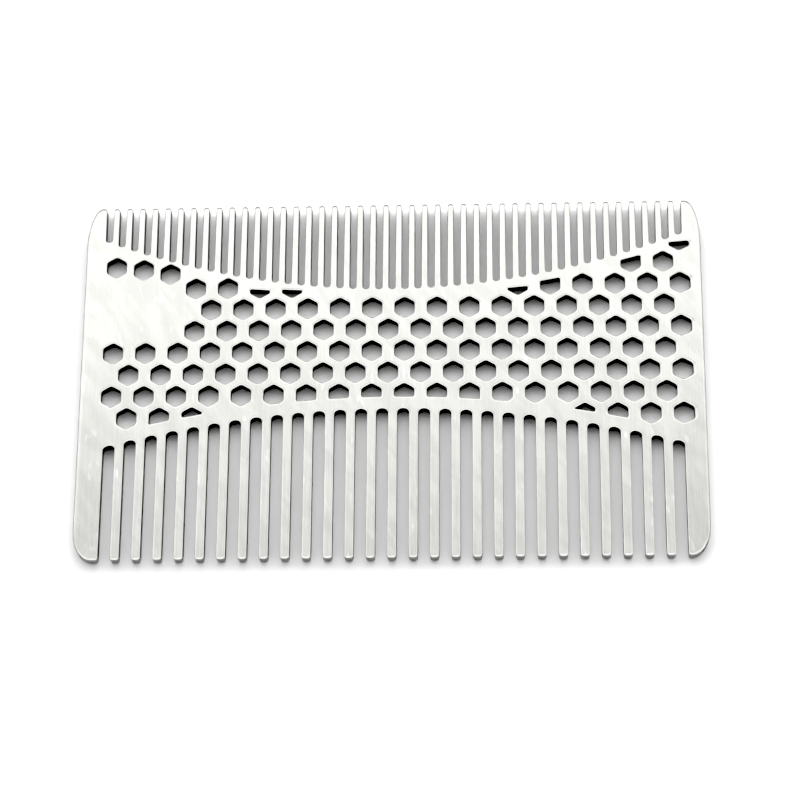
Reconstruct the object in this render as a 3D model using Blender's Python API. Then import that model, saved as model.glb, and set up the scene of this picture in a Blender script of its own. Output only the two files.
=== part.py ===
"""A flat steel beard comb, cut in one piece from a single sheet.

Fine teeth stand along one long edge and wide teeth along the other. The roots of each
row of teeth follow a shallow arc, and the band between the two arcs is pierced by a
honeycomb of hexagonal openings, with a plain patch left solid near one end.

The comb lies flat. X runs across the teeth, +Y points to the fine teeth and Z is the
sheet's thickness. The origin is in the middle of the underside.
"""

import math
from collections import namedtuple

import bmesh
import bpy
from mathutils import Vector
from mathutils.geometry import delaunay_2d_cdt

MM = 0.001

# The sheet, and its outer corners as quarter ellipses: half axes along X and Y
COMB_WIDTH = 85.6 * MM
COMB_LENGTH = 52.0 * MM
SHEET_THICKNESS = 1.5 * MM
FINE_CORNER = (2.0 * MM, 6.0 * MM)
WIDE_CORNER = (2.6 * MM, 4.2 * MM)

# A row of teeth. The gaps are gap wide and pitch apart, and their roots lie on an arc
# that crosses the Y axis at root_y. A negative arc radius bends the arc towards -Y.
# root_slant is 1 where each root is cut along the arc, and 0 where it is cut square.
ToothRow = namedtuple(
    "ToothRow",
    "gaps pitch gap middle_x tip_y tip_radius root_radius root_y root_arc_radius root_slant",
)
FINE_TEETH = ToothRow(
    gaps=45,
    pitch=1.806 * MM,
    gap=0.98 * MM,
    middle_x=0.03 * MM,
    tip_y=COMB_LENGTH / 2,
    tip_radius=0.36 * MM,
    root_radius=0.42 * MM,
    root_y=13.12 * MM,
    root_arc_radius=106.5 * MM,
    root_slant=0.0,
)
WIDE_TEETH = ToothRow(
    gaps=28,
    pitch=2.865 * MM,
    gap=1.65 * MM,
    middle_x=0.24 * MM,
    tip_y=-COMB_LENGTH / 2,
    tip_radius=0.4 * MM,
    root_radius=0.7 * MM,
    root_y=-4.62 * MM,
    root_arc_radius=-150.0 * MM,
    root_slant=1.0,
)

# The honeycomb: rows run along X, and every other row is shifted by half a pitch
CELL_PITCH = 4.47 * MM
CELL_ROW_SPACING = 3.205 * MM
CELL_SIDES = 6
CELL_APOTHEM = 1.4 * MM
CELL_REACH = CELL_APOTHEM / math.cos(math.pi / CELL_SIDES)
CELL_CORNER_RADIUS = 0.6 * MM
CELL_ORIGIN = Vector((1.79 * MM, 3.92 * MM))

# The openings of each honeycomb row: row, first column, last column
CELL_RUNS = (
    (4, 8, 8),
    (3, -6.5, -5.5),
    (3, 5.5, 8.5),
    (2, -6, 8),
    (1, -6.5, 8.5),
    (0, -9, 8),
    (-1, -8.5, 8.5),
    (-2, -9, 8),
    (-3, -8.5, -6.5),
    (-3, 5.5, 8.5),
)

# Openings near the fine teeth that are cut short: row, column, height of the cut above
# the opening's centre, slope of the cut
CUT_CELLS = (
    (3, -4.5, -0.28 * MM, -0.08),
    (3, -3.5, -0.38 * MM, -0.05),
    (3, 3.5, -0.38 * MM, 0.09),
    (3, 4.5, 0.72 * MM, 0.19),
    (4, 7, 0.64 * MM, 0.27),
    (5, 8.5, -0.22 * MM, 0.08),
)

# Openings near the wide teeth end this far from the arc of the roots
WIDE_ROOT_MARGIN = 1.72 * MM
CUT_CORNER_RADIUS = 0.3 * MM

# Three more openings step down above the plain patch, off the honeycomb's rows
STEPPED_CELLS = (
    Vector((-38.46 * MM, 16.87 * MM)),
    Vector((-34.66 * MM, 16.47 * MM)),
    Vector((-30.9 * MM, 15.78 * MM)),
)

# Facets that stand for each round, and the most of a side that one round may take up
CORNER_STEPS = 6
TOOTH_STEPS = 2
CELL_STEPS = 1
CUT_CELL_STEPS = 2
SIDE_SHARE = 0.46
FILL_TOLERANCE = 0.00001 * MM

SMOOTH_ANGLE = math.radians(40)
STEEL_COLOUR = (0.78, 0.78, 0.76, 1.0)
STEEL_ROUGHNESS = 0.3


def clear_objects():
    for obj in list(bpy.data.objects):
        bpy.data.objects.remove(obj, do_unlink=True)


def arc_points(centre, radius, start, sweep, steps):
    """Points along a circular arc, both ends included."""
    points = []
    for step in range(steps + 1):
        angle = start + sweep * step / steps
        points.append(centre + radius * Vector((math.cos(angle), math.sin(angle))))
    return points


def rounded_corner(before, corner, after, radius, steps):
    """The arc that rounds a corner. It tightens where a side is too short for it."""
    side_in = corner - before
    side_out = after - corner
    way_in = side_in.normalized()
    way_out = side_out.normalized()
    turn = math.atan2(way_in.cross(way_out), way_in.dot(way_out))
    spread = math.tan(abs(turn) / 2)
    room = SIDE_SHARE * min(side_in.length, side_out.length)
    setback = min(radius * spread, room)
    radius = setback / spread
    inward = math.copysign(1.0, turn) * Vector((-way_in.y, way_in.x))
    centre = corner - setback * way_in + radius * inward
    start = math.atan2(-inward.y, -inward.x)
    return arc_points(centre, radius, start, turn, steps)


def rounded_outline(corners, radii, steps):
    """A closed outline with its corners rounded."""
    points = []
    for index, corner in enumerate(corners):
        after = corners[(index + 1) % len(corners)]
        points += rounded_corner(corners[index - 1], corner, after, radii[index], steps)
    return points


def root_height(row, x):
    """Y of the arc through a row's roots."""
    radius = row.root_arc_radius
    return row.root_y + radius - math.copysign(math.sqrt(radius**2 - x**2), radius)


def gap_points(row, x):
    """The line round one gap, from the tip of the tooth at -X to the tip at +X."""
    left = x - row.gap / 2
    right = x + row.gap / 2
    reach = row.root_slant * row.gap / 2
    path = (
        Vector((left - row.pitch, row.tip_y)),
        Vector((left, row.tip_y)),
        Vector((left, root_height(row, x - reach))),
        Vector((right, root_height(row, x + reach))),
        Vector((right, row.tip_y)),
        Vector((right + row.pitch, row.tip_y)),
    )
    radii = (row.tip_radius, row.root_radius, row.root_radius, row.tip_radius)
    points = []
    for index, radius in enumerate(radii):
        before, corner, after = path[index:index + 3]
        points += rounded_corner(before, corner, after, radius, TOOTH_STEPS)
    return points


def toothed_edge(row):
    """The line of a whole row of teeth, running towards +X."""
    points = []
    for number in range(row.gaps):
        points += gap_points(row, row.middle_x + row.pitch * (number - (row.gaps - 1) / 2))
    return points


def outer_corner(sign_x, sign_y, half_axes, start):
    """One of the sheet's outer corners."""
    centre_x = sign_x * (COMB_WIDTH / 2 - half_axes[0])
    centre_y = sign_y * (COMB_LENGTH / 2 - half_axes[1])
    points = []
    for unit in arc_points(Vector((0.0, 0.0)), 1.0, start, math.pi / 2, CORNER_STEPS):
        points.append(Vector((centre_x + half_axes[0] * unit.x, centre_y + half_axes[1] * unit.y)))
    return points


def comb_outline():
    """The comb's outer line, anticlockwise from the corner at -X and -Y."""
    fine_edge = toothed_edge(FINE_TEETH)
    fine_edge.reverse()
    points = outer_corner(-1, -1, WIDE_CORNER, math.pi)
    points += toothed_edge(WIDE_TEETH)
    points += outer_corner(1, -1, WIDE_CORNER, 1.5 * math.pi)
    points += outer_corner(1, 1, FINE_CORNER, 0.0)
    points += fine_edge
    points += outer_corner(-1, 1, FINE_CORNER, 0.5 * math.pi)
    return points


def cell_centre(row, column):
    return CELL_ORIGIN + Vector((CELL_PITCH * column, CELL_ROW_SPACING * row))


def cell_corners(centre):
    """The six corners of an opening, anticlockwise, with one corner pointing to +Y."""
    turn = 2 * math.pi / CELL_SIDES
    return arc_points(centre, CELL_REACH, turn / 2, 2 * math.pi - turn, CELL_SIDES - 1)


def whole_cell(centre):
    radii = [CELL_CORNER_RADIUS] * CELL_SIDES
    return rounded_outline(cell_corners(centre), radii, CELL_STEPS)


def cut_cell(centre, cut_height, slope, side):
    """An opening cut short by a sloping line: side 1 keeps what is below it, -1 what is above."""
    def beyond(corner):
        offset = corner - centre
        return side * (offset.y - cut_height - slope * offset.x)

    corners = cell_corners(centre)
    kept = []
    radii = []
    for index, corner in enumerate(corners):
        previous = corners[index - 1]
        if (beyond(previous) > 0) != (beyond(corner) > 0):
            share = beyond(previous) / (beyond(previous) - beyond(corner))
            kept.append(previous.lerp(corner, share))
            radii.append(CUT_CORNER_RADIUS)
        if beyond(corner) <= 0:
            kept.append(corner)
            radii.append(CELL_CORNER_RADIUS)
    return rounded_outline(kept, radii, CUT_CELL_STEPS)


def honeycomb_cell(row, column):
    """An opening of the honeycomb, cut short where it comes too near the wide teeth."""
    centre = cell_centre(row, column)
    radius = WIDE_TEETH.root_arc_radius
    slope = centre.x / math.copysign(math.sqrt(radius**2 - centre.x**2), radius)
    cut_height = root_height(WIDE_TEETH, centre.x) + WIDE_ROOT_MARGIN - centre.y
    if cut_height < CELL_CORNER_RADIUS / 2 - CELL_REACH:
        return whole_cell(centre)
    return cut_cell(centre, cut_height, slope, -1)


def openings():
    """The outlines of all the openings in the middle of the comb."""
    outlines = []
    for row, first, last in CELL_RUNS:
        for step in range(round(last - first) + 1):
            outlines.append(honeycomb_cell(row, first + step))
    for row, column, cut_height, slope in CUT_CELLS:
        outlines.append(cut_cell(cell_centre(row, column), cut_height, slope, 1))
    for centre in STEPPED_CELLS:
        outlines.append(whole_cell(centre))
    return outlines


def steel():
    material = bpy.data.materials.new("steel")
    material.use_nodes = True
    shader = material.node_tree.nodes["Principled BSDF"]
    shader.inputs["Base Color"].default_value = STEEL_COLOUR
    shader.inputs["Metallic"].default_value = 1.0
    shader.inputs["Roughness"].default_value = STEEL_ROUGHNESS
    material.diffuse_color = STEEL_COLOUR
    return material


def sheet_mesh(name, outlines, thickness):
    """A flat sheet between the first outline and the openings listed after it."""
    points = []
    loops = []
    for outline in outlines:
        loops.append(range(len(points), len(points) + len(outline)))
        points += outline
    inside_with_holes = 2
    filled = delaunay_2d_cdt(points, [], loops, inside_with_holes, FILL_TOLERANCE)
    bm = bmesh.new()
    corners = [bm.verts.new((point.x, point.y, 0.0)) for point in filled[0]]
    for face in filled[2]:
        bm.faces.new([corners[index] for index in face])
    raised = bmesh.ops.extrude_face_region(bm, geom=bm.faces[:])
    raised_corners = [part for part in raised["geom"] if isinstance(part, bmesh.types.BMVert)]
    bmesh.ops.translate(bm, verts=raised_corners, vec=(0.0, 0.0, thickness))
    bmesh.ops.recalc_face_normals(bm, faces=bm.faces[:])
    mesh = bpy.data.meshes.new(name)
    bm.to_mesh(mesh)
    bm.free()
    return mesh


def comb_plate():
    mesh = sheet_mesh("comb_plate", [comb_outline()] + openings(), SHEET_THICKNESS)
    mesh.shade_smooth()
    mesh.set_sharp_from_angle(angle=SMOOTH_ANGLE)
    mesh.materials.append(steel())
    plate = bpy.data.objects.new("comb_plate", mesh)
    bpy.context.scene.collection.objects.link(plate)
    return plate


clear_objects()
comb_plate()
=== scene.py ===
"""The steel beard comb as it looks: a fine, soft-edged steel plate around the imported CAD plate.

The plate's outlines are read from the CAD node, its facets are turned back into smooth
rounds, and its edges are rolled over as tumbling leaves them. Everything is in metres.
"""

import math
from collections import namedtuple

import bmesh
import bpy
from mathutils import Matrix, Vector
from mathutils.geometry import delaunay_2d_cdt, interpolate_bezier

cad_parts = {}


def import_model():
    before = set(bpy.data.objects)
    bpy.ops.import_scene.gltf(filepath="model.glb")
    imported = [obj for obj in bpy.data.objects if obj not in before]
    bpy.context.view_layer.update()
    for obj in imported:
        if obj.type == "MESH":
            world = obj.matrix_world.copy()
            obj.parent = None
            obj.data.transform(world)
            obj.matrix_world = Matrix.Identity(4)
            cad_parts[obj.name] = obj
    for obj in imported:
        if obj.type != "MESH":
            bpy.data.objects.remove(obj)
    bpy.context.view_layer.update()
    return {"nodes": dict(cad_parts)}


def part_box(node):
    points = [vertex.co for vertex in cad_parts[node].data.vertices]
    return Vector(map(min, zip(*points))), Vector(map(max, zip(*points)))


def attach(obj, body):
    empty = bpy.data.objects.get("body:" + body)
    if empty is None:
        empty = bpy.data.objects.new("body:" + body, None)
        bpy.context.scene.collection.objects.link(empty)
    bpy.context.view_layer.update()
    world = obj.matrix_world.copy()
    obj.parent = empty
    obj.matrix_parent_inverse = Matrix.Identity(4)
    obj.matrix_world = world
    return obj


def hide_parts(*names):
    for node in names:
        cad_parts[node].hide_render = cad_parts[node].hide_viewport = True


MM = 0.001

# Outlines of the CAD plate. A face belongs to its upper side if it points up this squarely.
# A side of an outline is straight if it is this many times longer than both its neighbours.
# The others stand for rounds and are drawn as curves, with handles of this share of the side
# and about one step for each time the curve turns this much.
UPPER_FACING = 0.9
STRAIGHT_RATIO = 1.15
ARC_HANDLE = 0.35
ARC_STEP = math.radians(15)
WELD_DISTANCE = 0.001 * MM
FILL_TOLERANCE = 0.00001 * MM

# Rolled edges, as tumbling leaves them: how far in they run, how far they drop, and whether
# they are round (1) or a flat bevel with soft ends (0). They are the same all round the comb,
# but finer on the fine teeth, bevelled at the fine tips, and broader at the wide tips and down
# the comb's two short sides.
Roll = namedtuple("Roll", "run drop round")
EDGE_ROLL = Roll(0.24 * MM, 0.08 * MM, 1.0)
FINE_ROLL = Roll(0.15 * MM, 0.07 * MM, 1.0)
FINE_TIP_ROLL = Roll(0.25 * MM, 0.15 * MM, 0.0)
TIP_ROLL = Roll(0.32 * MM, 0.13 * MM, 1.0)
SIDE_ROLL = Roll(0.55 * MM, 0.3 * MM, 1.0)
ROLL_STEPS = 6

# Where each of those rolls starts, along Y or as a band inside the comb's edge, and the
# distance over which it takes over
FINE_TEETH_START = 13 * MM
FINE_TEETH_FADE = 1 * MM
SIDE_BAND = 2.4 * MM
SIDE_FADE = 0.2 * SIDE_BAND
TIP_BAND = 0.6 * MM
WIDE_TIP_FADE = 0.5 * TIP_BAND
FINE_TIP_FADE = 0.8 * TIP_BAND

# The camera looks at a point just off the comb's middle
CAMERA_AIM = Vector((1.24 * MM, -3.47 * MM, 1.5 * MM))
CAMERA_DISTANCE = 375.4 * MM
CAMERA_ELEVATION = math.radians(68.37)
CAMERA_AZIMUTH = math.radians(7.19)
CAMERA_ROLL = math.radians(-7.37)
CAMERA_LENS = 123.95
CAMERA_SENSOR = 36.0
CAMERA_CLIP_START = 0.01

# Light from the sky by height, in degrees from the far horizon over the top to the near one:
# what falls on the scene, and what polished metal mirrors. Both are kept as shares of a peak
# that neither of them reaches.
HORIZON_TO_HORIZON = 180
LIGHT_PEAK = 6.0
FALLING_LIGHT = (
    (0, 3.8),
    (14, 3.8),
    (28, 3.8),
    (42, 3.45),
    (57, 3.05),
    (72, 1.95),
    (82, 0.68),
    (92, 0.13),
    (100, 0.07),
    (180, 0.07),
)
MIRRORED_LIGHT = (
    (0, 0.12),
    (9, 0.2),
    (20, 0.6),
    (34, 0.9),
    (46, 1.45),
    (60, 1.45),
    (66, 1.38),
    (67.5, 1.25),
    (69.3, 0.955),
    (70.6, 0.795),
    (71.5, 0.74),
    (73, 0.66),
    (76, 0.62),
    (80, 0.98),
    (88, 1.08),
    (98, 1.35),
    (115, 1.35),
    (128, 1.1),
    (145, 1.0),
    (180, 0.85),
)

# The mirrored sky is turned this far about Z, and the falling light isn't
LIGHT_TURN = math.radians(-2.5)

# Light from the two sides, by how far a direction leans to a side. On the scene it fills in
# where the sky is darker. In polished metal it takes the sky's place.
SIDE_LIGHT = 0.85
SIDE_START = 0.2
SIDE_FULL = 0.88
SIDE_MIRRORED = 1.05
SIDE_MIRRORED_START = 0.6
SIDE_MIRRORED_FULL = 0.9

# The floor: polished metal mirrors less of it than the camera sees, and it glows a little
# behind the comb, which fades the gaps between the fine tips
FLOOR_HALF_SIZE = 2.0
FLOOR_DROP = 0.05 * MM
FLOOR_ALBEDO = 0.87
FLOOR_MIRRORED_ALBEDO = 0.3
FLOOR_ROUGHNESS = 0.9
FLOOR_SPECULAR = 0.1
FLOOR_GLOW = 0.06
FLOOR_GLOW_START = 20.5 * MM
FLOOR_GLOW_FULL = 25.5 * MM

# The steel is a cut wall or a flat face by how squarely it faces up or down. A rolled edge
# lies between the two.
WALL_FACING = (0.3, 0.75)
FACE_FACING = (0.96, 0.995)

# Noise drawn out into streaks: their size across and along, their turn from Y and their detail
Streaks = namedtuple("Streaks", "across along turn detail")
FINE_BRUSHING = Streaks(0.14 * MM, 5 * MM, 0.0, 2.0)
MEDIUM_BRUSHING = Streaks(0.5 * MM, 14 * MM, 0.0, 2.0)
UNEVEN_POLISH = Streaks(5 * MM, 11 * MM, 0.0, 3.0)
SMUDGES = Streaks(1.8 * MM, 6 * MM, math.radians(35), 4.0)
RUBBED_SPOTS = Streaks(1 * MM, 3.2 * MM, 0.1, 1.0)

# The grain is fine and medium brushing in these shares. Most of any noise lies in the spread.
FINE_SHARE = 0.6
MEDIUM_SHARE = 0.4
NOISE_SPREAD = (0.3, 0.7)
GROOVE_DEPTH = 0.0008 * MM

# The faces, from the darkest grain to the lightest. Smudges darken them and rubbed spots
# brighten them. Near the wide teeth, the blocks at the two ends are a little darker.
FACE_DARK = (0.775, 0.776, 0.745, 1)
FACE_LIGHT = (0.82, 0.821, 0.79, 1)
SMUDGE_SPREAD = (0.35, 0.65)
SMUDGE_TINT = 0.92
RUBBED_SPREAD = (0.66, 0.76)
RUBBED_GAIN = 0.12
BLOCK_START = 38 * MM
BLOCK_FULL = 41 * MM
BLOCK_LOW = -10 * MM
BLOCK_HIGH = 2 * MM
BLOCK_DARKENING = 0.06

# The cut walls, from the darkest streak to the lightest. The ends of the wide teeth are bright,
# which fades out along this stretch of Y.
WALL_DARK = (0.28, 0.28, 0.28, 1)
WALL_LIGHT = (0.43, 0.43, 0.42, 1)
TOOTH_END_COLOUR = (0.85, 0.85, 0.84, 1)
TOOTH_END = (-25.7 * MM, -25.2 * MM)

# Except on those ends, the lower part of each cut wall is torn rather than sheared, so it is
# matt and pale
TORN_COLOUR = (0.37, 0.37, 0.36, 1)
TORN_START = 0.7 * MM
TORN_FULL = 0.1 * MM
TORN_DULLING = 0.85

# Roughness on the faces from the darkest grain to the lightest, and the most that uneven
# polish and cut walls add to it. Reflections are drawn out this much on the faces.
FACE_ROUGHNESS = (0.2, 0.25)
UNEVEN_ROUGHNESS = 0.06
WALL_ROUGHNESS = 0.18
ANISOTROPY = 0.7

# The colour sockets of a Mix node share their names with others, so they go by number
MIX_FIRST = 6
MIX_SECOND = 7
MIX_RESULT = 2

# Tones of the picture below the first level turn black, and above the second white
BLACK_LEVEL = 0.07
WHITE_LEVEL = 0.95


# ---------------------------------------------------------------- outlines


def face_loops(node):
    """The outlines of a plate's upper face, each with the metal on its left."""
    bm = bmesh.new()
    bm.from_mesh(node.data)
    bmesh.ops.remove_doubles(bm, verts=bm.verts, dist=WELD_DISTANCE)
    following = {}
    for face in bm.faces:
        if face.normal.z < UPPER_FACING:
            continue
        for corner in face.loops:
            neighbours = [other for other in corner.edge.link_faces if other is not face]
            if all(other.normal.z < UPPER_FACING for other in neighbours):
                following[corner.vert] = corner.link_loop_next.vert
    loops = []
    while following:
        loop = []
        vertex = next(iter(following))
        while vertex in following:
            loop.append(vertex.co.xy.copy())
            vertex = following.pop(vertex)
        loops.append(loop)
    bm.free()
    return loops


def straight_sides(loop, sides, half_size):
    """Which sides of a loop are straight. The ends of the teeth always are."""
    straight = []
    for i, side in enumerate(sides):
        longest = max(sides[i - 1].length, sides[(i + 1) % len(sides)].length)
        middle = loop[i] + side / 2
        at_tip = abs(abs(middle.y) - half_size.y) < WELD_DISTANCE
        straight.append(at_tip or side.length > STRAIGHT_RATIO * longest)
    return straight


def smooth_loop(loop, half_size):
    """Turns the facets of a loop's rounds into fine curves and leaves its straight sides."""
    count = len(loop)
    sides = [loop[(i + 1) % count] - loop[i] for i in range(count)]
    straight = straight_sides(loop, sides, half_size)

    def tangent(i):
        before = sides[i - 1].normalized()
        after = sides[i].normalized()
        if straight[i - 1]:
            return before
        if straight[i]:
            return after
        return (before + after).normalized()

    points = []
    for i, start in enumerate(loop):
        if straight[i]:
            points.append(start)
            continue
        end = loop[(i + 1) % count]
        way_out = tangent(i)
        way_in = tangent((i + 1) % count)
        handle = ARC_HANDLE * sides[i].length
        steps = max(1, math.ceil(way_out.angle(way_in) / ARC_STEP))
        curve = interpolate_bezier(
            start, start + handle * way_out, end - handle * way_in, end, steps + 1
        )
        points += [point.xy for point in curve[:-1]]
    return points


def inward_directions(loop):
    """For each point, the way into the metal, long enough to move both its sides by one."""
    count = len(loop)
    normals = []
    for i in range(count):
        side = (loop[(i + 1) % count] - loop[i]).normalized()
        normals.append(Vector((-side.y, side.x)))
    directions = []
    for i in range(count):
        before = normals[i - 1]
        after = normals[i]
        directions.append((before + after) / (1 + before.dot(after)))
    return directions


# ---------------------------------------------------------------- rolled edges


def smooth_share(value):
    value = min(max(value, 0.0), 1.0)
    return value * value * (3 - 2 * value)


def mix(first, second, share):
    return first + (second - first) * share


def blend_rolls(first, second, share):
    return Roll(*(mix(a, b, share) for a, b in zip(first, second)))


def edge_roll(point, inward, half_size):
    """The rolled edge at a point of an outline."""
    facing_side = inward.normalized().x ** 2
    at_side = smooth_share((abs(point.x) - (half_size.x - SIDE_BAND)) / SIDE_FADE)
    at_wide_tip = smooth_share((-half_size.y + TIP_BAND - point.y) / WIDE_TIP_FADE)
    at_fine = smooth_share((point.y - FINE_TEETH_START) / FINE_TEETH_FADE)
    at_fine_tip = smooth_share((point.y - half_size.y + TIP_BAND) / FINE_TIP_FADE)
    roll = blend_rolls(EDGE_ROLL, FINE_ROLL, at_fine)
    roll = blend_rolls(roll, FINE_TIP_ROLL, at_fine_tip)
    roll = blend_rolls(roll, TIP_ROLL, at_wide_tip)
    return blend_rolls(roll, SIDE_ROLL, at_side * facing_side)


def edge_profile(roll, thickness):
    """Steps up an edge: the way in from the outline, the height and the normal's tilt."""
    quarter = math.pi / 2
    steps = []
    for step in range(ROLL_STEPS + 1):
        share = step / ROLL_STEPS
        round_tilt = quarter * share
        turn = math.atan2(roll.drop * math.sin(round_tilt), roll.run * math.cos(round_tilt))
        flat_tilt = math.atan2(roll.run, roll.drop) if 0 < step < ROLL_STEPS else round_tilt
        way_in = roll.run * mix(share, 1 - math.cos(turn), roll.round)
        drop = roll.drop * mix(1 - share, 1 - math.sin(turn), roll.round)
        steps.append((way_in, drop, mix(flat_tilt, round_tilt, roll.round)))
    below = [(way_in, drop, -tilt) for way_in, drop, tilt in reversed(steps)]
    above = [(way_in, thickness - drop, tilt) for way_in, drop, tilt in steps]
    return below + above


def edge_columns(loop, half_size, bottom, thickness):
    """For each point of a loop, its column of vertices and normals from bottom to top."""
    columns = []
    for point, inward in zip(loop, inward_directions(loop)):
        outward = -inward.normalized()
        roll = edge_roll(point, inward, half_size)
        column = []
        for way_in, height, tilt in edge_profile(roll, thickness):
            place = (point + way_in * inward).to_3d()
            place.z = bottom + height
            normal = (math.cos(tilt) * outward).to_3d()
            normal.z = math.sin(tilt)
            column.append((place, normal))
        columns.append(column)
    return columns


# ---------------------------------------------------------------- the plate


def wall_faces(start, count, levels):
    """Faces between neighbouring columns of vertices, all the way round a loop."""
    faces = []
    for i in range(count):
        here = start + i * levels
        there = start + (i + 1) % count * levels
        for level in range(levels - 1):
            faces.append((here + level, there + level, there + level + 1, here + level + 1))
    return faces


def cap_triangles(points, loops):
    """Triangles between the outer loop and the loops inside it, as indices of the points."""
    inside_with_holes = 2
    filled = delaunay_2d_cdt(points, [], loops, inside_with_holes, FILL_TOLERANCE)
    origins = [sources[0] for sources in filled[3]]
    return [[origins[index] for index in face] for face in filled[2]]


def link_object(name, data):
    obj = bpy.data.objects.new(name, data)
    bpy.context.scene.collection.objects.link(obj)
    return obj


def rolled_plate(name, loops, low, high):
    """A plate between two corners of a box, cut by the loops, with rolled edges."""
    half_size = Vector(((high.x - low.x) / 2, (high.y - low.y) / 2))
    places = []
    normals = []
    faces = []
    top_points = []
    top_indices = []
    bottom_indices = []
    cap_loops = []
    for loop in loops:
        columns = edge_columns(loop, half_size, low.z, high.z - low.z)
        count = len(columns)
        levels = len(columns[0])
        faces += wall_faces(len(places), count, levels)
        cap_loops.append(range(len(top_points), len(top_points) + count))
        for column in columns:
            bottom_indices.append(len(places))
            places += [place for place, normal in column]
            normals += [normal for place, normal in column]
            top_indices.append(len(places) - 1)
            top_points.append(places[-1].xy)
    for face in cap_triangles(top_points, cap_loops):
        faces.append([top_indices[index] for index in face])
        faces.append([bottom_indices[index] for index in reversed(face)])
    mesh = bpy.data.meshes.new(name)
    mesh.from_pydata(places, [], faces)
    mesh.update()
    mesh.shade_smooth()
    mesh.normals_split_custom_set_from_vertices(normals)
    return link_object(name, mesh)


# ---------------------------------------------------------------- material nodes


def math_node(tree, operation, first, second=None, third=None):
    """A Math node. Its inputs are numbers or other nodes' outputs."""
    node = tree.nodes.new("ShaderNodeMath")
    node.operation = operation
    for socket, value in zip(node.inputs, (first, second, third)):
        if value is None:
            continue
        if isinstance(value, bpy.types.NodeSocket):
            tree.links.new(value, socket)
        else:
            socket.default_value = value
    return node.outputs[0]


def remap(tree, value, low, high, to_low, to_high):
    """Takes low..high of a value smoothly to to_low..to_high, held at the ends."""
    node = tree.nodes.new("ShaderNodeMapRange")
    node.interpolation_type = "SMOOTHSTEP"
    tree.links.new(value, node.inputs["Value"])
    node.inputs["From Min"].default_value = low
    node.inputs["From Max"].default_value = high
    node.inputs["To Min"].default_value = to_low
    node.inputs["To Max"].default_value = to_high
    return node.outputs["Result"]


def blend_colours(tree, share, first, second):
    """A colour between two others. Each is a plain colour or another node's output."""
    node = tree.nodes.new("ShaderNodeMix")
    node.data_type = "RGBA"
    tree.links.new(share, node.inputs["Factor"])
    for number, value in ((MIX_FIRST, first), (MIX_SECOND, second)):
        if isinstance(value, bpy.types.NodeSocket):
            tree.links.new(value, node.inputs[number])
        else:
            node.inputs[number].default_value = value
    return node.outputs[MIX_RESULT]


def object_place(tree):
    """Where a point lies on its object, in metres."""
    return tree.nodes.new("ShaderNodeTexCoord").outputs["Object"]


def axes(tree, vector):
    """The X, Y and Z of a vector."""
    split = tree.nodes.new("ShaderNodeSeparateXYZ")
    tree.links.new(vector, split.inputs[0])
    return split.outputs


def streaks(tree, pattern):
    """Noise drawn out along Y, as brushing leaves it, or along a line turned from Y."""
    mapping = tree.nodes.new("ShaderNodeMapping")
    mapping.vector_type = "TEXTURE"
    tree.links.new(object_place(tree), mapping.inputs["Vector"])
    mapping.inputs["Rotation"].default_value = (0.0, 0.0, pattern.turn)
    mapping.inputs["Scale"].default_value = (pattern.across, pattern.along, pattern.along)
    noise = tree.nodes.new("ShaderNodeTexNoise")
    noise.inputs["Scale"].default_value = 1.0
    noise.inputs["Detail"].default_value = pattern.detail
    tree.links.new(mapping.outputs["Vector"], noise.inputs["Vector"])
    return noise.outputs["Fac"]


# ---------------------------------------------------------------- steel

# How far a point belongs to a cut wall, a flat face, the end of a wide tooth and a torn wall
Zones = namedtuple("Zones", "wall face tooth_end torn")


def steel_zones(tree):
    normal = tree.nodes.new("ShaderNodeNewGeometry").outputs["Normal"]
    facing = math_node(tree, "ABSOLUTE", axes(tree, normal)["Z"])
    wall = remap(tree, facing, *WALL_FACING, 1.0, 0.0)
    face = remap(tree, facing, *FACE_FACING, 0.0, 1.0)
    place = axes(tree, object_place(tree))
    tooth_end = remap(tree, place["Y"], *TOOTH_END, 1.0, 0.0)
    torn = remap(tree, place["Z"], TORN_FULL, TORN_START, 1.0, 0.0)
    torn = math_node(tree, "MULTIPLY", torn, math_node(tree, "SUBTRACT", 1.0, tooth_end))
    torn = math_node(tree, "MULTIPLY", torn, wall)
    return Zones(wall, face, tooth_end, torn)


def end_block_darkening(tree):
    """How much darker the blocks at the two ends are near the wide teeth."""
    place = axes(tree, object_place(tree))
    off_middle = math_node(tree, "ABSOLUTE", place["X"])
    at_ends = remap(tree, off_middle, BLOCK_START, BLOCK_FULL, 0.0, BLOCK_DARKENING)
    near_wide_teeth = remap(tree, place["Y"], BLOCK_LOW, BLOCK_HIGH, 1.0, 0.0)
    return math_node(tree, "MULTIPLY", at_ends, near_wide_teeth)


def face_colour(tree, grain):
    """Brushed steel with smudges, rubbed spots and darker end blocks."""
    light_grain = remap(tree, grain, *NOISE_SPREAD, 0.0, 1.0)
    brushed = blend_colours(tree, light_grain, FACE_DARK, FACE_LIGHT)
    tint = remap(tree, streaks(tree, SMUDGES), *SMUDGE_SPREAD, SMUDGE_TINT, 1.0)
    rubbed = remap(tree, streaks(tree, RUBBED_SPOTS), *RUBBED_SPREAD, 0.0, RUBBED_GAIN)
    tint = math_node(tree, "ADD", tint, rubbed)
    tint = math_node(tree, "SUBTRACT", tint, end_block_darkening(tree))
    scaled = tree.nodes.new("ShaderNodeVectorMath")
    scaled.operation = "SCALE"
    tree.links.new(brushed, scaled.inputs[0])
    tree.links.new(tint, scaled.inputs["Scale"])
    return scaled.outputs[0]


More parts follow.
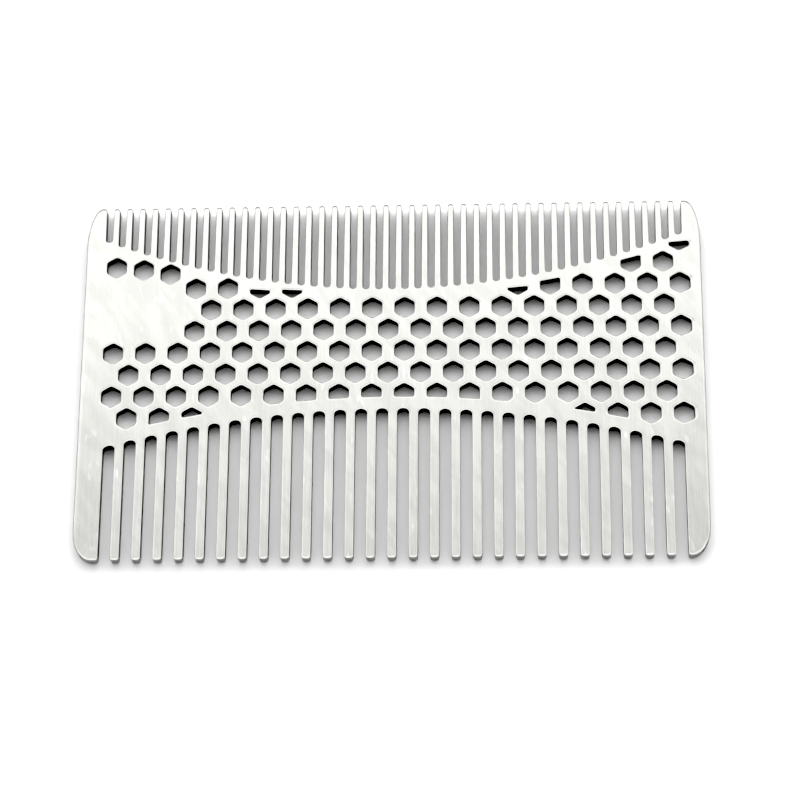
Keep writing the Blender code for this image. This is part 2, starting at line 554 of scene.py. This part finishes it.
def wall_colour(tree, fine, zones):
    """Dark streaky cut walls, pale where they are torn and bright on the wide teeth's ends."""
    light_streaks = remap(tree, fine, *NOISE_SPREAD, 0.0, 1.0)
    cut = blend_colours(tree, light_streaks, WALL_DARK, WALL_LIGHT)
    cut = blend_colours(tree, zones.torn, cut, TORN_COLOUR)
    return blend_colours(tree, zones.tooth_end, cut, TOOTH_END_COLOUR)


def steel_roughness(tree, grain, zones):
    """Unevenly polished faces and rougher cut walls."""
    roughness = remap(tree, grain, *NOISE_SPREAD, *FACE_ROUGHNESS)
    uneven = streaks(tree, UNEVEN_POLISH)
    roughness = math_node(tree, "MULTIPLY_ADD", uneven, UNEVEN_ROUGHNESS, roughness)
    return math_node(tree, "MULTIPLY_ADD", zones.wall, WALL_ROUGHNESS, roughness)


def add_brushing(tree, shader, grain, zones):
    """Draws reflections out across the brushing on the faces, and adds its fine grooves."""
    across = tree.nodes.new("ShaderNodeCombineXYZ")
    across.inputs["X"].default_value = 1.0
    tree.links.new(across.outputs[0], shader.inputs["Tangent"])
    stretch = math_node(tree, "MULTIPLY", zones.face, ANISOTROPY)
    tree.links.new(stretch, shader.inputs["Anisotropic"])
    bump = tree.nodes.new("ShaderNodeBump")
    bump.inputs["Strength"].default_value = 1.0
    bump.inputs["Distance"].default_value = GROOVE_DEPTH
    tree.links.new(grain, bump.inputs["Height"])
    tree.links.new(bump.outputs["Normal"], shader.inputs["Normal"])


def steel():
    """Satin steel: brushed faces, polished rolled edges and dull cut walls, matt lower down."""
    material = bpy.data.materials.new("brushed_steel")
    material.use_nodes = True
    tree = material.node_tree
    shader = tree.nodes["Principled BSDF"]
    zones = steel_zones(tree)
    fine = streaks(tree, FINE_BRUSHING)
    medium = streaks(tree, MEDIUM_BRUSHING)
    grain = math_node(tree, "MULTIPLY", medium, MEDIUM_SHARE)
    grain = math_node(tree, "MULTIPLY_ADD", fine, FINE_SHARE, grain)
    faces = face_colour(tree, grain)
    walls = wall_colour(tree, fine, zones)
    tree.links.new(blend_colours(tree, zones.wall, faces, walls), shader.inputs["Base Color"])
    tree.links.new(steel_roughness(tree, grain, zones), shader.inputs["Roughness"])
    metallic = math_node(tree, "MULTIPLY_ADD", zones.torn, -TORN_DULLING, 1.0)
    tree.links.new(metallic, shader.inputs["Metallic"])
    add_brushing(tree, shader, grain, zones)
    return material


# ---------------------------------------------------------------- stage


def grey(value):
    return (value, value, value, 1)


def floor_material():
    """A matt white floor that polished metal sees as darker, with a faint glow at the back."""
    material = bpy.data.materials.new("white_floor")
    material.use_nodes = True
    tree = material.node_tree
    shader = tree.nodes["Principled BSDF"]
    glossy = tree.nodes.new("ShaderNodeLightPath").outputs["Is Glossy Ray"]
    colour = blend_colours(tree, glossy, grey(FLOOR_ALBEDO), grey(FLOOR_MIRRORED_ALBEDO))
    tree.links.new(colour, shader.inputs["Base Color"])
    shader.inputs["Roughness"].default_value = FLOOR_ROUGHNESS
    shader.inputs["Specular IOR Level"].default_value = FLOOR_SPECULAR
    back = axes(tree, object_place(tree))["Y"]
    glow = remap(tree, back, FLOOR_GLOW_START, FLOOR_GLOW_FULL, 0.0, FLOOR_GLOW)
    shader.inputs["Emission Color"].default_value = grey(1)
    tree.links.new(glow, shader.inputs["Emission Strength"])
    return material


def floor(height):
    corners = []
    for x, y in ((-1, -1), (1, -1), (1, 1), (-1, 1)):
        corners.append((FLOOR_HALF_SIZE * x, FLOOR_HALF_SIZE * y, height))
    mesh = bpy.data.meshes.new("floor")
    mesh.from_pydata(corners, [], [(0, 1, 2, 3)])
    mesh.materials.append(floor_material())
    return link_object("floor", mesh)


def light_by_height(tree, direction, name, profile):
    """Light from a direction, by its height in a table of degrees and strengths."""
    lean = axes(tree, direction)
    height = math_node(tree, "ARCTAN2", lean["Z"], lean["Y"])
    ramp = tree.nodes.new("ShaderNodeValToRGB")
    ramp.label = name
    tree.links.new(math_node(tree, "DIVIDE", height, math.pi), ramp.inputs["Fac"])
    stops = ramp.color_ramp.elements
    stops.remove(stops[1])
    for index, (degrees, value) in enumerate(profile):
        position = degrees / HORIZON_TO_HORIZON
        stop = stops[0] if index == 0 else stops.new(position)
        stop.position = position
        stop.color = grey(value / LIGHT_PEAK)
    return math_node(tree, "MULTIPLY", ramp.outputs["Color"], LIGHT_PEAK)


def falling_light(tree, direction, sideways):
    """What falls on the scene: the sky, filled in from the sides where it is darker."""
    sky = light_by_height(tree, direction, "falling light", FALLING_LIGHT)
    side = remap(tree, sideways, SIDE_START, SIDE_FULL, 0.0, SIDE_LIGHT)
    return math_node(tree, "MAXIMUM", sky, side)


def mirrored_light(tree, direction, sideways):
    """What polished metal mirrors: the sky, turned a little, and the sides in its place."""
    turned = tree.nodes.new("ShaderNodeVectorRotate")
    turned.rotation_type = "Z_AXIS"
    turned.inputs["Angle"].default_value = LIGHT_TURN
    tree.links.new(direction, turned.inputs["Vector"])
    sky = light_by_height(tree, turned.outputs[0], "mirrored light", MIRRORED_LIGHT)
    at_side = remap(tree, sideways, SIDE_MIRRORED_START, SIDE_MIRRORED_FULL, 0.0, 1.0)
    away = math_node(tree, "SUBTRACT", 1.0, at_side)
    side = math_node(tree, "MULTIPLY", at_side, SIDE_MIRRORED)
    return math_node(tree, "MULTIPLY_ADD", sky, away, side)


def world():
    """A soft light tent: plain white to the camera, with one light to fall and one to mirror."""
    environment = bpy.data.worlds.new("studio")
    environment.use_nodes = True
    environment.cycles.sampling_method = "NONE"
    tree = environment.node_tree
    direction = tree.nodes.new("ShaderNodeTexCoord").outputs["Generated"]
    sideways = math_node(tree, "ABSOLUTE", axes(tree, direction)["X"])
    falling = falling_light(tree, direction, sideways)
    mirrored = mirrored_light(tree, direction, sideways)
    ray = tree.nodes.new("ShaderNodeLightPath").outputs
    strength = math_node(tree, "MULTIPLY", ray["Is Diffuse Ray"], falling)
    strength = math_node(tree, "MULTIPLY_ADD", ray["Is Glossy Ray"], mirrored, strength)
    strength = math_node(tree, "ADD", ray["Is Camera Ray"], strength)
    background = tree.nodes["Background"]
    background.inputs["Color"].default_value = grey(1)
    tree.links.new(strength, background.inputs["Strength"])
    bpy.context.scene.world = environment


def camera():
    """A camera that looks down at the comb from the wide teeth's side, rolled a little."""
    level = math.cos(CAMERA_ELEVATION)
    back = Vector((
        math.sin(CAMERA_AZIMUTH) * level,
        -math.cos(CAMERA_AZIMUTH) * level,
        math.sin(CAMERA_ELEVATION),
    ))
    level_right = Vector((math.cos(CAMERA_AZIMUTH), math.sin(CAMERA_AZIMUTH), 0.0))
    level_up = back.cross(level_right)
    right = math.cos(CAMERA_ROLL) * level_right + math.sin(CAMERA_ROLL) * level_up
    up = back.cross(right)
    data = bpy.data.cameras.new("camera")
    data.lens = CAMERA_LENS
    data.sensor_width = CAMERA_SENSOR
    data.clip_start = CAMERA_CLIP_START
    obj = link_object("camera", data)
    rotation = Matrix((right, up, back)).transposed().to_4x4()
    obj.matrix_world = Matrix.Translation(CAMERA_AIM + CAMERA_DISTANCE * back) @ rotation
    bpy.context.scene.camera = obj


def picture_levels():
    """Plain colour handling, with the darkest and brightest tones a little clipped."""
    view = bpy.context.scene.view_settings
    view.view_transform = "Standard"
    view.use_curve_mapping = True
    view.curve_mapping.black_level = (BLACK_LEVEL, BLACK_LEVEL, BLACK_LEVEL)
    view.curve_mapping.white_level = (WHITE_LEVEL, WHITE_LEVEL, WHITE_LEVEL)
    view.curve_mapping.update()


# ---------------------------------------------------------------- the scene

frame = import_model()

comb_low, comb_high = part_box("comb_plate")
comb = rolled_plate(
    "steel_comb",
    [smooth_loop(loop, comb_high.xy) for loop in face_loops(frame["nodes"]["comb_plate"])],
    comb_low,
    comb_high,
)
comb.data.materials.append(steel())
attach(comb, "root")
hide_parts("comb_plate")

floor(comb_low.z - FLOOR_DROP)
world()
camera()
picture_levels()
